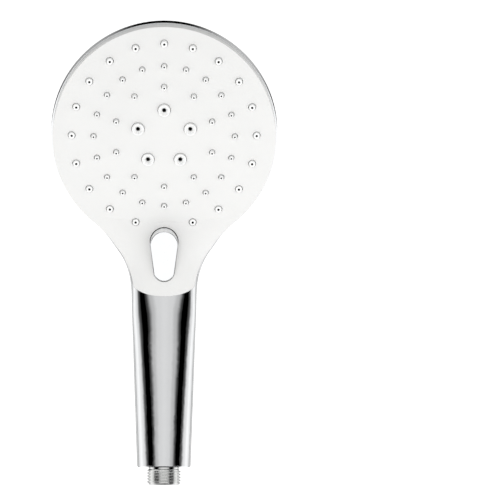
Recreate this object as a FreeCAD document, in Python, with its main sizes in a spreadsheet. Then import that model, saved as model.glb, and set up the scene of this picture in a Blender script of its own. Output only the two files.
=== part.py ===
"""Handheld shower head: a tilted round spray head on a chromed handle.

The frame has +Z up along the handle and its origin at the middle of the inlet
thread's end face.  The spray leaves towards -Y.  Lengths are millimetres.
The head is drawn in a face frame that lies on the rim of the spray face:
across is X, up is along the tilted face, and out is the way the spray leaves.
"""
import FreeCAD, Part
import Sketcher
import math
import os

SIZES = [
    ("head_radius", 70.0, "spray head outline, half its width"),
    ("head_stretch", 1.03, "height of the outline over its width"),
    ("head_height", 215.2, "middle of the head above the inlet"),
    ("head_tilt", 17.1, "lean of the spray face, degrees"),
    ("blend_radius", 62.0, "hollow curve from head to neck, front view"),
    ("neck_half_width", 20.0, "neck, half its width"),
    ("neck_depth", 24.6, "neck, front to back"),
    ("neck_setback", 2.6, "neck's middle behind the handle's axis"),
    ("rim_behind_neck", 5.4, "rim plane behind the axis at the neck"),
    ("handle_end_radius", 16.5, "round end of the handle"),
    ("end_bevel", 0.7, "bevel on the handle's end"),
    ("floor_thickness", 3.0, "end wall of the handle"),
    ("shell_wall", 2.3, "chromed shells"),
    ("seam_depth", 12.4, "seam of the rear cover behind the rim"),
    ("seam_gap", 0.15, "parting gap between the rear cover and the handle"),
    ("seam_lower_back", 7.2, "lower corner of the seam behind the axis"),
    ("seam_corner_rise", 21.3, "lower corner of the seam above the neck"),
    ("seam_corner_radius", 7.0, "rounding of that corner"),
    ("seam_bend_rise", 50.3, "bend of the seam above the neck"),
    ("edge_bend_radius", 60.0, "bends of the seam and of the plate's rear edge"),
    ("lip_thickness", 1.5, "locating lip of the rear cover"),
    ("plate_inset", 1.0, "face plate inside the chromed rim"),
    ("plate_wall", 2.5, "face plate"),
    ("plate_edge", 5.7, "face plate's edge, front to back"),
    ("plate_lower_front", 3.6, "tongue's rear face in front of the axis"),
    ("plate_corner_rise", 9.0, "tongue's rear corner above the neck"),
    ("tongue_rise", 60.0, "where the tongue ends under the dome, above the neck"),
    ("face_dome", 7.4, "rise of the domed face over its rim"),
    ("ledge_width", 4.1, "inner ledge of the rim"),
    ("ledge_thickness", 1.5, "inner ledge of the rim"),
    ("ledge_clearance", 0.4, "between the ledge and the outer chamber's wall"),
    ("ring_rise", 2.0, "nozzle rings' middle above the head's middle"),
    ("outer_ring", 57.2, "ring of 19 nozzles"),
    ("middle_ring", 43.7, "ring of 20 nozzles"),
    ("inner_ring", 31.2, "ring of 10 nozzles"),
    ("massage_ring", 17.0, "ring of 5 large nozzles"),
    ("outer_nozzle_radius", 2.3, "outer nozzle at its root"),
    ("outer_nozzle_end", 1.9, "outer nozzle at its tip"),
    ("outer_nozzle_bore", 0.7, "outer nozzle's hole"),
    ("outer_nozzle_tip", 4.2, "outer nozzle's tip above the rim"),
    ("rain_nozzle_radius", 1.8, "small nozzle at its root"),
    ("rain_nozzle_end", 1.25, "small nozzle at its tip"),
    ("rain_nozzle_bore", 0.5, "small nozzle's hole"),
    ("middle_nozzle_tip", 7.0, "middle ring's tips above the rim"),
    ("inner_nozzle_tip", 9.2, "inner ring's tips above the rim"),
    ("massage_nozzle_radius", 4.0, "large nozzle at its root"),
    ("massage_nozzle_end", 3.7, "large nozzle at its tip"),
    ("massage_nozzle_bore", 1.2, "large nozzle's hole"),
    ("massage_nozzle_mouth", 3.0, "funnel at the large nozzle's tip"),
    ("massage_nozzle_tip", 9.1, "large nozzles' tips above the rim"),
    ("mouth_depth", 2.1, "depth of that funnel"),
    ("nozzle_clearance", 0.08, "gap round each nozzle"),
    ("mat_thickness", 1.5, "soft nozzle mats"),
    ("chamber_radius", 60.2, "outer water chamber, half its width"),
    ("chamber_wall", 1.2, "walls between the chambers"),
    ("outer_wall_radius", 50.0, "wall between outer and middle chambers"),
    ("inner_wall_radius", 24.0, "wall between middle and centre chambers"),
    ("base_thickness", 2.0, "base of the channel body"),
    ("lid_height", 4.2, "channel lid behind the base"),
    ("lid_wall", 1.2, "channel lid"),
    ("lid_half_width", 9.0, "channel lid"),
    ("channel_pitch", 5.6, "between the three channels"),
    ("channel_width", 4.2, "each channel"),
    ("port_radius", 1.6, "port from a channel to its chamber"),
    ("middle_port_offset", 6.0, "middle chamber's port outside the inner ring"),
    ("centre_port_place", 7.0, "centre chamber's port below the head's middle"),
    ("gasket_thickness", 0.6, "gasket between diverter and channels"),
    ("gasket_width", 17.0, "that gasket"),
    ("gasket_depth", 4.4, "that gasket, front to back"),
    ("plate_screw_radius", 1.0, "screw that holds the face plate"),
    ("plate_boss_radius", 2.2, "boss for that screw"),
    ("plate_screw_ring", 65.0, "ring of those screws"),
    ("screw_grip", 3.9, "screw's pilot hole in the plate"),
    ("screw_head_height", 1.4, "pan head of every screw"),
    ("screw_slot", 0.5, "slot in that head"),
    ("button_top_radius", 8.5, "button's wide end"),
    ("button_end_radius", 6.2, "button's narrow end"),
    ("button_top_place", 66.0, "wide end's centre below the head's middle"),
    ("button_end_place", 83.8, "narrow end's centre below it"),
    ("button_face", 11.6, "button's face above the rim plane"),
    ("button_wall", 1.6, "button's wall"),
    ("button_skirt_front", 6.0, "rear edge of the button's skirt in front of the axis"),
    ("button_clearance", 0.35, "gap round the button"),
    ("button_travel", 2.5, "press of the button"),
    ("rod_place", 73.5, "push rod below the head's middle"),
    ("rod_radius", 1.6, "push rod"),
    ("rod_clearance", 0.1, "gap round the push rod"),
    ("rod_recess", 2.6, "push rod's end behind the button's face"),
    ("rod_clip_thickness", 0.6, "clip on the push rod"),
    ("stem_radius", 2.6, "button's stem over the rod"),
    ("spring_radius", 4.75, "button spring, middle of the wire"),
    ("spring_wire", 0.35, "button spring, radius of the wire"),
    ("housing_radius", 9.0, "diverter housing"),
    ("housing_front", 3.8, "housing's front behind the rim plane"),
    ("housing_depth", 9.0, "housing, front to back"),
    ("housing_wall", 1.2, "diverter housing"),
    ("housing_neck", 0.2, "flat outlet face beyond the round housing"),
    ("foot_half_width", 5.0, "housing's foot over the water tube"),
    ("foot_length", 3.5, "housing's foot below the round housing"),
    ("boss_radius", 4.0, "boss round the push rod"),
    ("boss_height", 2.3, "boss round the push rod"),
    ("rod_seal_seat", 3.1, "seat of the push rod's seal"),
    ("outlet_half", 2.0, "housing's outlets and the gasket's windows, half their width"),
    ("rotor_clearance", 0.3, "gap round the rotor"),
    ("rotor_thickness", 2.6, "diverter rotor"),
    ("rotor_port_radius", 1.6, "rotor's ports"),
    ("rotor_port_ring", 4.8, "rotor's ports from its axis"),
    ("ear_place", 12.3, "housing's screw ears from the middle"),
    ("ear_radius", 2.8, "housing's screw ears"),
    ("ear_thickness", 2.5, "housing's screw ears"),
    ("tube_radius", 5.6, "water tube, outside"),
    ("tube_bore", 4.4, "water tube, inside radius"),
    ("tube_setback", 5.7, "tube's upper end behind the axis"),
    ("tube_top_rise", 17.3, "tube's upper end above the neck"),
    ("spigot_length", 10.0, "housing's spigot inside the tube"),
    ("spigot_bore", 3.0, "spigot's hole"),
    ("tube_seal_wire", 0.46, "upper seal of the tube, radius of its section"),
    ("socket_seal_wire", 0.78, "lower seal of the tube, radius of its section"),
    ("socket_seal_rise", 5.2, "lower seal above the socket's floor"),
    ("thread_radius", 10.4775, "G1/2 pipe thread, outside"),
    ("thread_depth", 1.162, "G1/2 pipe thread"),
    ("thread_pitch", 1.814, "G1/2 pipe thread"),
    ("thread_length", 10.8, "thread below the handle"),
    ("inlet_bore", 7.6, "bore of the inlet nipple"),
    ("seal_thickness", 1.0, "washer under the nipple's flange"),
    ("flange_thickness", 2.2, "nipple's flange"),
    ("flange_radius", 13.9, "nipple's flange"),
    ("barrel_radius", 9.6, "nipple's barrel inside the handle"),
    ("barrel_top", 34.0, "nipple's top above the inlet"),
    ("socket_floor", 24.0, "floor of the tube socket"),
    ("ring_thickness", 1.4, "retaining ring"),
    ("ring_bite", 0.8, "retaining ring in the handle's wall"),
    ("cartridge_radius", 7.5, "valve and filter in the nipple's bore"),
    ("valve_floor", 7.0, "check valve above the inlet"),
    ("valve_length", 13.5, "check valve"),
    ("valve_bore", 5.6, "check valve, inside radius"),
    ("valve_travel", 2.0, "lift of the check valve's poppet"),
    ("valve_guide", 1.2, "guide hole for the poppet's stem"),
    ("valve_seal_rise", 4.9, "check valve's seal above its floor"),
    ("poppet_radius", 4.6, "check valve's poppet"),
    ("poppet_stem", 1.1, "poppet's stem"),
    ("valve_spring_radius", 1.75, "check valve's spring, middle of the wire"),
    ("valve_spring_wire", 0.28, "that spring, radius of the wire"),
    ("filter_low", 1.2, "inlet filter's rim above the inlet"),
    ("filter_height", 2.0, "inlet filter"),
    ("limiter_low", 3.6, "flow limiter above the inlet"),
    ("limiter_height", 2.8, "flow limiter"),
]

OUTER_COUNT = 20  # places on the outer ring; the lowest one is left out
MIDDLE_COUNT = 20
INNER_COUNT = 10
MASSAGE_COUNT = 5
THREAD_TURNS = 5
SECTION_POINTS = 32
REACH = 150.0  # more than the head's size, for cutting tools

V = FreeCAD.Vector
doc = FreeCAD.newDocument("HandShower")
pieces = []


class Length:
    """A size with its expression in the sheet, so that features can be bound to it."""

    def __init__(self, amount, text):
        self.amount = amount
        self.text = text

    def __float__(self):
        return self.amount

    def __add__(self, other):
        return Length(self.amount + float(other), f"{self.text} + {text_of(other)}")

    def __sub__(self, other):
        return Length(self.amount - float(other), f"{self.text} - ({text_of(other)})")

    def __mul__(self, factor):
        return Length(self.amount * float(factor), f"({self.text}) * ({text_of(factor)})")


def text_of(amount):
    return amount.text if isinstance(amount, Length) else str(amount)


def make_sheet():
    sheet = doc.addObject("Spreadsheet::Sheet", "Sizes")
    for row, (alias, amount, meaning) in enumerate(SIZES, start=1):
        sheet.set(f"A{row}", alias)
        sheet.set(f"B{row}", str(amount))
        sheet.setAlias(f"B{row}", alias)
        sheet.set(f"C{row}", meaning)
    doc.recompute()
    return {alias: Length(float(sheet.get(alias)), f"Sizes.{alias}") for alias, _, _ in SIZES}


size = make_sheet()
n = {alias: float(length) for alias, length in size.items()}  # the same sizes as plain numbers

# ---------------------------------------------------------------- frames
LEAN = math.radians(n["head_tilt"])
UP = V(0, -math.sin(LEAN), math.cos(LEAN))
OUT = V(0, -math.cos(LEAN), -math.sin(LEAN))
BLEND_ACROSS = n["neck_half_width"] + 0.4 + n["blend_radius"]
BLEND_DOWN = math.sqrt((n["head_radius"] + n["blend_radius"]) ** 2 - BLEND_ACROSS**2)
DROP = n["head_stretch"] * math.cos(LEAN)  # height in the front view for one unit along the outline
NECK = n["head_height"] - BLEND_DOWN * DROP
FACE_Y = n["rim_behind_neck"] - (n["head_height"] - NECK) * math.tan(LEAN)
FACE_TURN = FreeCAD.Rotation(V(1, 0, 0), 90 + n["head_tilt"])
DOME_RADIUS = (n["head_radius"] ** 2 + n["face_dome"] ** 2) / (2 * n["face_dome"])


def on_face(across, up, out):
    """The point of the model's frame for a point of the face frame."""
    return V(across, FACE_Y, n["head_height"]) + UP * up + OUT * out


def face_place(across=0.0, up=0.0, out=0.0):
    return FreeCAD.Placement(on_face(across, up, out), FACE_TURN)


def rim_y(height):
    """Where the rim plane lies at this height."""
    return FACE_Y - (height - n["head_height"]) * math.tan(LEAN)


def dome_rise(distance):
    """The domed face above the rim plane at this distance from its middle."""
    return math.sqrt(DOME_RADIUS**2 - distance**2) - DOME_RADIUS + n["face_dome"]


# ---------------------------------------------------------------- features
def bind(thing, **lengths):
    for prop, length in lengths.items():
        if isinstance(length, Length):
            thing.setExpression(prop, length.text)
        setattr(thing, prop, float(length))
    return thing


def cylinder(name, radius, height, place):
    thing = bind(doc.addObject("Part::Cylinder", name), Radius=radius, Height=height)
    thing.Placement = place
    return thing


def block(name, across, up, out, place):
    """A box of the face frame, its lowest corner at the place."""
    thing = bind(doc.addObject("Part::Box", name), Length=across, Width=up, Height=out)
    thing.Placement = place
    return thing


def torus(name, radius, wire, place):
    thing = bind(doc.addObject("Part::Torus", name), Radius1=radius, Radius2=wire)
    thing.Placement = place
    return thing


def fuse(name, things):
    joined = doc.addObject("Part::MultiFuse", name)
    joined.Shapes = things
    joined.Refine = True
    return joined


def cut(name, base, tools):
    """The base less one tool or a list of them."""
    left = doc.addObject("Part::Cut", name)
    left.Base = base
    left.Tool = tools[0] if len(tools) == 1 else group(name + "_tools", tools)
    return left


def common(name, things):
    shared = doc.addObject("Part::MultiCommon", name)
    shared.Shapes = things
    return shared


def upright(across, deep, height):
    """A place on the model's own axes."""
    return FreeCAD.Placement(V(across, deep, height), FreeCAD.Rotation())


def group(name, things):
    """Separate solids held together as one object."""
    together = doc.addObject("Part::Compound", name)
    together.Links = things
    return together


def solid(name, shape):
    thing = doc.addObject("Part::Feature", name)
    thing.Shape = shape
    return thing


def keep(thing, label):
    thing.Label = label
    pieces.append(thing)
    return thing


def turned(name, outline, place=None):
    """A turned piece: its half outline, as (radius, height) corners, revolved about Z."""
    body = doc.addObject("PartDesign::Body", name)
    sketch = body.newObject("Sketcher::SketchObject", name + "_outline")
    plane = next(f for f in body.Origin.OriginFeatures if f.Role == "XZ_Plane")
    sketch.AttachmentSupport = [(plane, "")]
    sketch.MapMode = "FlatFace"
    corners = [V(float(radius), float(height), 0) for radius, height in outline]
    count = len(corners)
    for i in range(count):
        sketch.addGeometry(Part.LineSegment(corners[i], corners[(i + 1) % count]), False)
    for i in range(count):
        sketch.addConstraint(Sketcher.Constraint("Coincident", i, 2, (i + 1) % count, 1))
    for i, (radius, height) in enumerate(outline):
        pin_corner(sketch, i, "X", radius)
        pin_corner(sketch, i, "Y", height)
    lathe = body.newObject("PartDesign::Revolution", name + "_turn")
    lathe.Profile = sketch
    lathe.ReferenceAxis = (sketch, ["V_Axis"])
    lathe.Angle = 360
    body.Tip = lathe
    if place:
        body.Placement = place
    return body


def pin_corner(sketch, corner, way, amount):
    """Fix one coordinate of a sketch corner, bound to the sheet where it is a size."""
    if float(amount) == 0:
        axis = -2 if way == "X" else -1
        sketch.addConstraint(Sketcher.Constraint("PointOnObject", corner, 1, axis))
        return
    rule = Sketcher.Constraint("Distance" + way, -1, 1, corner, 1, float(amount))
    index = sketch.addConstraint(rule)
    if isinstance(amount, Length):
        sketch.renameConstraint(index, f"corner{corner}{way}")
        sketch.setExpression(f"Constraints.corner{corner}{way}", amount.text)


# ---------------------------------------------------------------- outer form
def outline_half(height):
    """Half the width of the rim's outline at this height, seen from the front."""
    wall_rise = (n["plate_edge"] + n["seam_depth"]) / 2 * math.sin(LEAN)
    along = (height - n["head_height"] - wall_rise) / DROP
    meeting = -BLEND_DOWN * n["head_radius"] / (n["head_radius"] + n["blend_radius"])
    if along > meeting:
        return math.sqrt(max(n["head_radius"] ** 2 - along**2, 0))
    reach = min(along + BLEND_DOWN, n["blend_radius"])
    return BLEND_ACROSS - math.sqrt(n["blend_radius"] ** 2 - max(reach, 0) ** 2)


# Sections from the neck to the head's middle.  Share of the way up, width beyond the
# outline, back of the shell behind the rim plane, depths to the back and to the front of
# the widest line, and squareness of the front.
NECK_SECTIONS = [
    (0.12, -0.5, 12.6, 12.1, 12.2, 2.6),
    (0.225, -0.3, 15.4, 12.2, 11.7, 2.9),
    (0.325, 1.0, 17.7, 12.8, 11.3, 3.0),
    (0.46, 5.0, 19.8, 14.6, 8.8, 3.0),
    (0.59, 7.5, 21.7, 17.1, 6.2, 3.0),
    (0.715, 9.0, 23.5, 20.3, 6.0, 3.0),
    (0.845, 10.0, 24.9, 23.0, 6.0, 3.0),
    (1.0, 10.0, 26.0, 23.5, 6.0, 3.0),
]
# Sections above the head's middle.  Share of the head's half height, share of the
# head's radius, and back of the shell behind the rim plane.
CROWN_SECTIONS = [
    (0.25, 1.115, 25.7),
    (0.5, 1.035, 24.0),
    (0.75, 0.94, 19.7),
    (0.9, 0.86, 16.0),
    (1.02, 0.78, 12.2),
    (1.12, 0.71, 8.4),
]
HANDLE_SHARES = [0.0, 0.25, 0.5, 0.75, 1.0]


def form_sections():
    """Rows of height, half width, back, depth behind and before the widest line, squareness."""
    rows = []
    start = n["thread_length"]
    for share in HANDLE_SHARES:
        height = start + (NECK - start) * share
        half = n["handle_end_radius"] + (n["neck_half_width"] - n["handle_end_radius"]) * share
        depth = n["handle_end_radius"] + (n["neck_depth"] / 2 - n["handle_end_radius"]) * share**2
        rows.append((height, half, n["neck_setback"] * share + depth, depth, depth, 2.0))
    for share, wider, back, behind, before, square in NECK_SECTIONS:
        height = NECK + (n["head_height"] - NECK) * share
        half = outline_half(height) + wider
        rows.append((height, half, rim_y(height) + back, behind, before, square))
    for share, width, back in CROWN_SECTIONS:
        height = n["head_height"] + n["head_radius"] * DROP * share
        half = n["head_radius"] * width
        rows.append((height, half, rim_y(height) + back, 23.5, 6.0, 3.0))
    return rows


def form_section(height, half, back, behind, before, square):
    """A closed smooth curve: half an ellipse behind, a squarer half in front."""
    middle = back - behind
    points = []
    for k in range(SECTION_POINTS):
        angle = 2 * math.pi * k / SECTION_POINTS
        across, deep = math.cos(angle), math.sin(angle)
        power, depth = (2.0, behind) if deep >= 0 else (square, before)
        swell = (abs(across) ** power + abs(deep) ** power) ** (-1 / power)
        points.append(V(half * across * swell, middle + depth * deep * swell, height))
    curve = Part.BSplineCurve()
    steps = [float(k) for k in range(SECTION_POINTS + 1)]
    curve.interpolate(Points=points, PeriodicFlag=True, Parameters=steps)
    return curve


def form(wall):
    """The smooth body of handle, neck and head, drawn in by this wall.

    One surface passes through all sections, and its height is its own parameter, so that
    it stays even between sections that are near together and sections that are far apart.
    """
    rows = form_sections()
    heights = [row[0] for row in rows]
    sections = []
    for i, (height, half, back, behind, before, square) in enumerate(rows):
        below_row, above_row = rows[max(i - 1, 0)], rows[min(i + 1, len(rows) - 1)]
        slope = (above_row[2] - below_row[2]) / (above_row[0] - below_row[0])
        in_back = wall * math.sqrt(1 + slope**2)
        row = (height, half - wall, back - in_back, behind - in_back, before - wall, square)
        sections.append(form_section(*row))
    columns = []
    for poles in zip(*[section.getPoles() for section in sections]):
        column = Part.BSplineCurve()
        column.interpolate(Points=list(poles), Parameters=heights)
        columns.append(column)
    round_way, long_way = sections[0], columns[0]
    surface = Part.BSplineSurface()
    surface.buildFromPolesMultsKnots(
        [column.getPoles() for column in columns],
        round_way.getMultiplicities(), long_way.getMultiplicities(),
        round_way.getKnots(), long_way.getKnots(),
        True, False, round_way.Degree, long_way.Degree)
    skin = surface.toShape()
    ends = [Part.Face(Part.Wire([edge])) for edge in skin.Edges if edge.isClosed() and is_level(edge)]
    shell = Part.makeShell([skin] + ends)
    shell.sewShape()
    return Part.makeSolid(shell)


def is_level(edge):
    return edge.BoundBox.ZLength < 0.01


def outline_prism(inset):
    """The outline of head and neck, drawn in by the inset, as deep as the whole head."""
    radius = n["head_radius"] - inset
    hollow = n["blend_radius"] + inset
    tilt = math.atan2(BLEND_DOWN, BLEND_ACROSS)
    meet = V(radius * math.cos(tilt), -radius * math.sin(tilt), 0)
    bend = V(BLEND_ACROSS + hollow * math.cos(math.pi - tilt / 2),
             -BLEND_DOWN + hollow * math.sin(math.pi - tilt / 2), 0)
    foot = V(BLEND_ACROSS - hollow, -BLEND_DOWN, 0)
    step = V(BLEND_ACROSS, -BLEND_DOWN, 0)
    sole = V(BLEND_ACROSS, -2 * REACH, 0)

    def mirrored(point):
        return V(-point.x, point.y, 0)

    edges = [
        Part.Arc(meet, V(0, radius, 0), mirrored(meet)).toShape(),
        Part.Arc(mirrored(meet), mirrored(bend), mirrored(foot)).toShape(),
        Part.LineSegment(mirrored(foot), mirrored(step)).toShape(),
        Part.LineSegment(mirrored(step), mirrored(sole)).toShape(),
        Part.LineSegment(mirrored(sole), sole).toShape(),
        Part.LineSegment(sole, step).toShape(),
        Part.LineSegment(step, foot).toShape(),
        Part.Arc(foot, bend, meet).toShape(),
    ]
    stretch = FreeCAD.Matrix()
    stretch.scale(1, n["head_stretch"], 1)
    wire = Part.Wire(edges).transformGeometry(stretch)
    prism = Part.Face(wire).extrude(V(0, 0, REACH))
    prism.Placement = face_place(out=-REACH / 2)
    return prism


def rounded_path(corners):
    """Edges through side-view corners (y, height, radius), each rounded by its radius."""
    spots = [V(0, y, height) for y, height, _ in corners]
    edges, last = [], spots[0]
    for i in range(1, len(spots) - 1):
        radius = corners[i][2]
        to_last = (spots[i - 1] - spots[i]).normalize()
        to_next = (spots[i + 1] - spots[i]).normalize()
        if radius == 0:
            edges.append(Part.LineSegment(last, spots[i]).toShape())
            last = spots[i]
            continue
        half = to_last.getAngle(to_next) / 2
        run = radius / math.tan(half)
        near, far = spots[i] + to_last * run, spots[i] + to_next * run
        towards = (to_last + to_next).normalize()
        mid = spots[i] + towards * (radius / math.sin(half) - radius)
        edges.append(Part.LineSegment(last, near).toShape())
        edges.append(Part.Arc(near, mid, far).toShape())
        last = far
    edges.append(Part.LineSegment(last, spots[-1]).toShape())
    edges.append(Part.LineSegment(spots[-1], spots[0]).toShape())
    return edges


def side_cutter(corners):
    """A block across the whole width with this side view."""
    face = Part.Face(Part.Wire(rounded_path(corners)))
    face.translate(V(-REACH, 0, 0))
    return face.extrude(V(2 * REACH, 0, 0))


def height_on(depth, y):
    """Height at which a plane this deep behind the rim plane passes this y."""
    return n["head_height"] + (FACE_Y + depth / math.cos(LEAN) - y) / math.tan(LEAN)


def front_region(back_by=0.0):
    """Everything in front of the face plate's rear edge."""
    depth = n["plate_edge"] + back_by
    lower = -n["plate_lower_front"] + back_by
    corner = NECK + n["plate_corner_rise"] - back_by
    top = n["head_height"] + REACH
    far = -2 * REACH
    return side_cutter([
        (far, top, 0),
        (rim_y(top) + depth / math.cos(LEAN), top, 0),
        (lower, height_on(depth, lower), n["edge_bend_radius"]),
        (lower, corner, 0),
        (far, corner + far - lower, 0),
    ])


def rear_region(forward=0.0):
    """Everything behind the seam of the rear cover."""
    depth = n["seam_depth"] - forward
    lower = n["seam_lower_back"] - forward
    corner = NECK + n["seam_corner_rise"] - forward
    bend = NECK + n["seam_bend_rise"]
    top = n["head_height"] + REACH
    far = 2 * REACH
    return side_cutter([
        (far, top, 0),
        (rim_y(top) + depth / math.cos(LEAN), top, 0),
        (rim_y(bend) + depth / math.cos(LEAN), bend, n["edge_bend_radius"]),
        (lower, corner, n["seam_corner_radius"]),
        (far, corner - (far - lower), 0),
    ])


def dome(under):
    """The ball whose front is this far under the domed face."""
    ball = Part.makeSphere(DOME_RADIUS - under)
    ball.translate(on_face(0, 0, n["face_dome"] - DOME_RADIUS))
    return ball


def above(height):
    return Part.makeBox(2 * REACH, 2 * REACH, 3 * REACH, V(-REACH, -REACH, height))


def below(height):
    return Part.makeBox(2 * REACH, 2 * REACH, 3 * REACH, V(-REACH, -REACH, height - 3 * REACH))


whole_form = form(0)
hollow_form = form(n["shell_wall"])
whole_outline = outline_prism(0)


# ---------------------------------------------------------------- shells
def handle_floor():
    """Where the cavity of the handle starts."""
    return n["thread_length"] + n["floor_thickness"]


def end_bevel_cone():
    """A wide cone that bevels the handle's round end."""
    low = n["handle_end_radius"] - n["end_bevel"]
    rise = REACH
    return Part.makeCone(low, low + rise, rise, V(0, 0, n["thread_length"]))


def make_handle_shell():
    outside = whole_form.common(whole_outline)
    body = outside.cut(rear_region()).cut(front_region())
    hollow = hollow_form.common(outline_prism(n["shell_wall"])).common(above(handle_floor()))
    shell = body.cut(hollow)
    ledge = Part.makeCylinder(REACH, n["ledge_thickness"])
    ledge.Placement = face_place(out=-n["plate_edge"] - n["ledge_thickness"])
    opening = Part.makeCylinder(n["head_radius"] - n["shell_wall"] - n["ledge_width"], REACH)
    opening.Placement = face_place(out=-REACH / 2)
    wall_outside = n["chamber_radius"] + n["chamber_wall"]
    opening = opening.fuse(oval_post(wall_outside + n["ledge_clearance"], -REACH / 2, REACH / 2))
    keep_above = Part.makeBox(2 * REACH, 2 * REACH, REACH, V(-REACH, -n["head_radius"] * 0.8, 0))
    keep_above.Placement = face_place(out=-REACH / 2).multiply(keep_above.Placement)
    ledge = ledge.common(body).cut(opening).common(keep_above)
    for across, up in plate_screw_spots():
        hole = Part.makeCylinder(n["plate_screw_radius"] + 0.2, REACH)
        hole.Placement = face_place(across, up, -REACH / 2)
        ledge = ledge.cut(hole)
    shell = shell.fuse(ledge)
    neck_hole = Part.makeCylinder(n["thread_radius"] + 0.15, handle_floor())
    groove_floor = handle_floor() + n["seal_thickness"] + n["flange_thickness"]
    groove_radius = n["handle_end_radius"] - n["shell_wall"] + n["ring_bite"]
    groove = Part.makeCylinder(groove_radius, n["ring_thickness"], V(0, 0, groove_floor))
    shell = shell.cut(neck_hole).cut(groove)
    trim = end_bevel_cone().fuse(above(handle_floor() + 20))
    return solid("handle_shape", shell.common(trim))


def plate_screw_spots():
    """Places of the face plate's screws, clear of the outer chamber's highest point."""
    ring = n["plate_screw_ring"]
    angles = [math.radians(turn) for turn in (30, 150, 210, 330)]
    return [(ring * math.cos(a), ring * math.sin(a)) for a in angles]


def ear_spots():
    """Places of the screws that hold the diverter housing."""
    return [(hand * n["ear_place"], -n["rod_place"]) for hand in (-1, 1)]


def make_rear_cover():
    outside = whole_form.common(whole_outline)
    cover = outside.common(rear_region(-n["seam_gap"]))
    hollow = hollow_form.common(outline_prism(n["shell_wall"]))
    cover = cover.cut(hollow)
    lip = outline_prism(n["shell_wall"]).cut(outline_prism(n["shell_wall"] + n["lip_thickness"]))
    low = n["seam_depth"] + n["lip_thickness"] * 1.3
    slab = Part.makeBox(2 * REACH, 2 * REACH, n["lip_thickness"] * 2.5, V(-REACH, -n["head_radius"] * 0.7, 0))
    slab.Placement = face_place(out=-low).multiply(slab.Placement)
    lip = lip.common(slab).common(whole_form)
    lip = lip.common(rear_region()).fuse(lip.common(hollow))
    return solid("rear_cover_shape", cover.fuse(lip))


def nozzle_spots(ring, count, skip_lowest=False):
    """Places of a ring of nozzles on the face, from the top, stretched like the outline."""
    tall = ring * n["head_stretch"]
    spots = []
    for k in range(count):
        turn = 2 * math.pi * k / count
        if skip_lowest and k == count // 2:
            continue
        spots.append((ring * math.sin(turn), n["ring_rise"] + tall * math.cos(turn)))
    return spots


OUTER_SPOTS = nozzle_spots(n["outer_ring"], OUTER_COUNT, skip_lowest=True)
MIDDLE_SPOTS = nozzle_spots(n["middle_ring"], MIDDLE_COUNT)
INNER_SPOTS = nozzle_spots(n["inner_ring"], INNER_COUNT)
MASSAGE_SPOTS = nozzle_spots(n["massage_ring"], MASSAGE_COUNT)


def standing_cylinder(radius, spot, low, high):
    """A cylinder that stands on the face at this spot, between two distances out."""
    post = Part.makeCylinder(radius, high - low)
    post.Placement = face_place(spot[0], spot[1], low)
    return post


def oval_post(radius, low, high):
    """A post round all the nozzle rings, stretched and raised as they are."""
    half_height = radius * n["head_stretch"]
    edge = Part.Ellipse(V(0, half_height, 0), V(radius, 0, 0), V(0, 0, 0)).toShape()
    post = Part.Face(Part.Wire([edge])).extrude(V(0, 0, high - low))
    post.Placement = face_place(up=n["ring_rise"], out=low)
    return post


def button_form(shrink):
    """The button's outline, drawn in by this much, as a long prism."""
    top, end = n["button_top_radius"] - shrink, n["button_end_radius"] - shrink
    high, low = -n["button_top_place"], -n["button_end_place"]
    lean = math.asin((top - end) / (high - low))
    across, up = math.cos(lean), -math.sin(lean)

    def side(radius, centre, hand):
        return V(hand * radius * across, centre + radius * up, 0)

    edges = [
        Part.LineSegment(side(end, low, 1), side(top, high, 1)).toShape(),
        Part.Arc(side(top, high, 1), V(0, high + top, 0), side(top, high, -1)).toShape(),
        Part.LineSegment(side(top, high, -1), side(end, low, -1)).toShape(),
        Part.Arc(side(end, low, -1), V(0, low - end, 0), side(end, low, 1)).toShape(),
    ]
    prism = Part.Face(Part.Wire(edges)).extrude(V(0, 0, REACH))
    prism.Placement = face_place(out=-REACH / 2)
    return prism


def button_notch(margin):
    """Room for the button in the chambers behind the face, this much beyond the button."""
    half = n["button_top_radius"] + n["button_clearance"] + margin
    top = -(n["button_top_place"] - n["button_top_radius"]) + n["button_clearance"] + margin
    notch = Part.makeBox(2 * half, REACH, REACH, V(-half, top - REACH, 0))
    behind = n["plate_edge"] + n["ledge_thickness"]
    notch.Placement = face_place(out=-behind).multiply(notch.Placement)
    return notch


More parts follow.
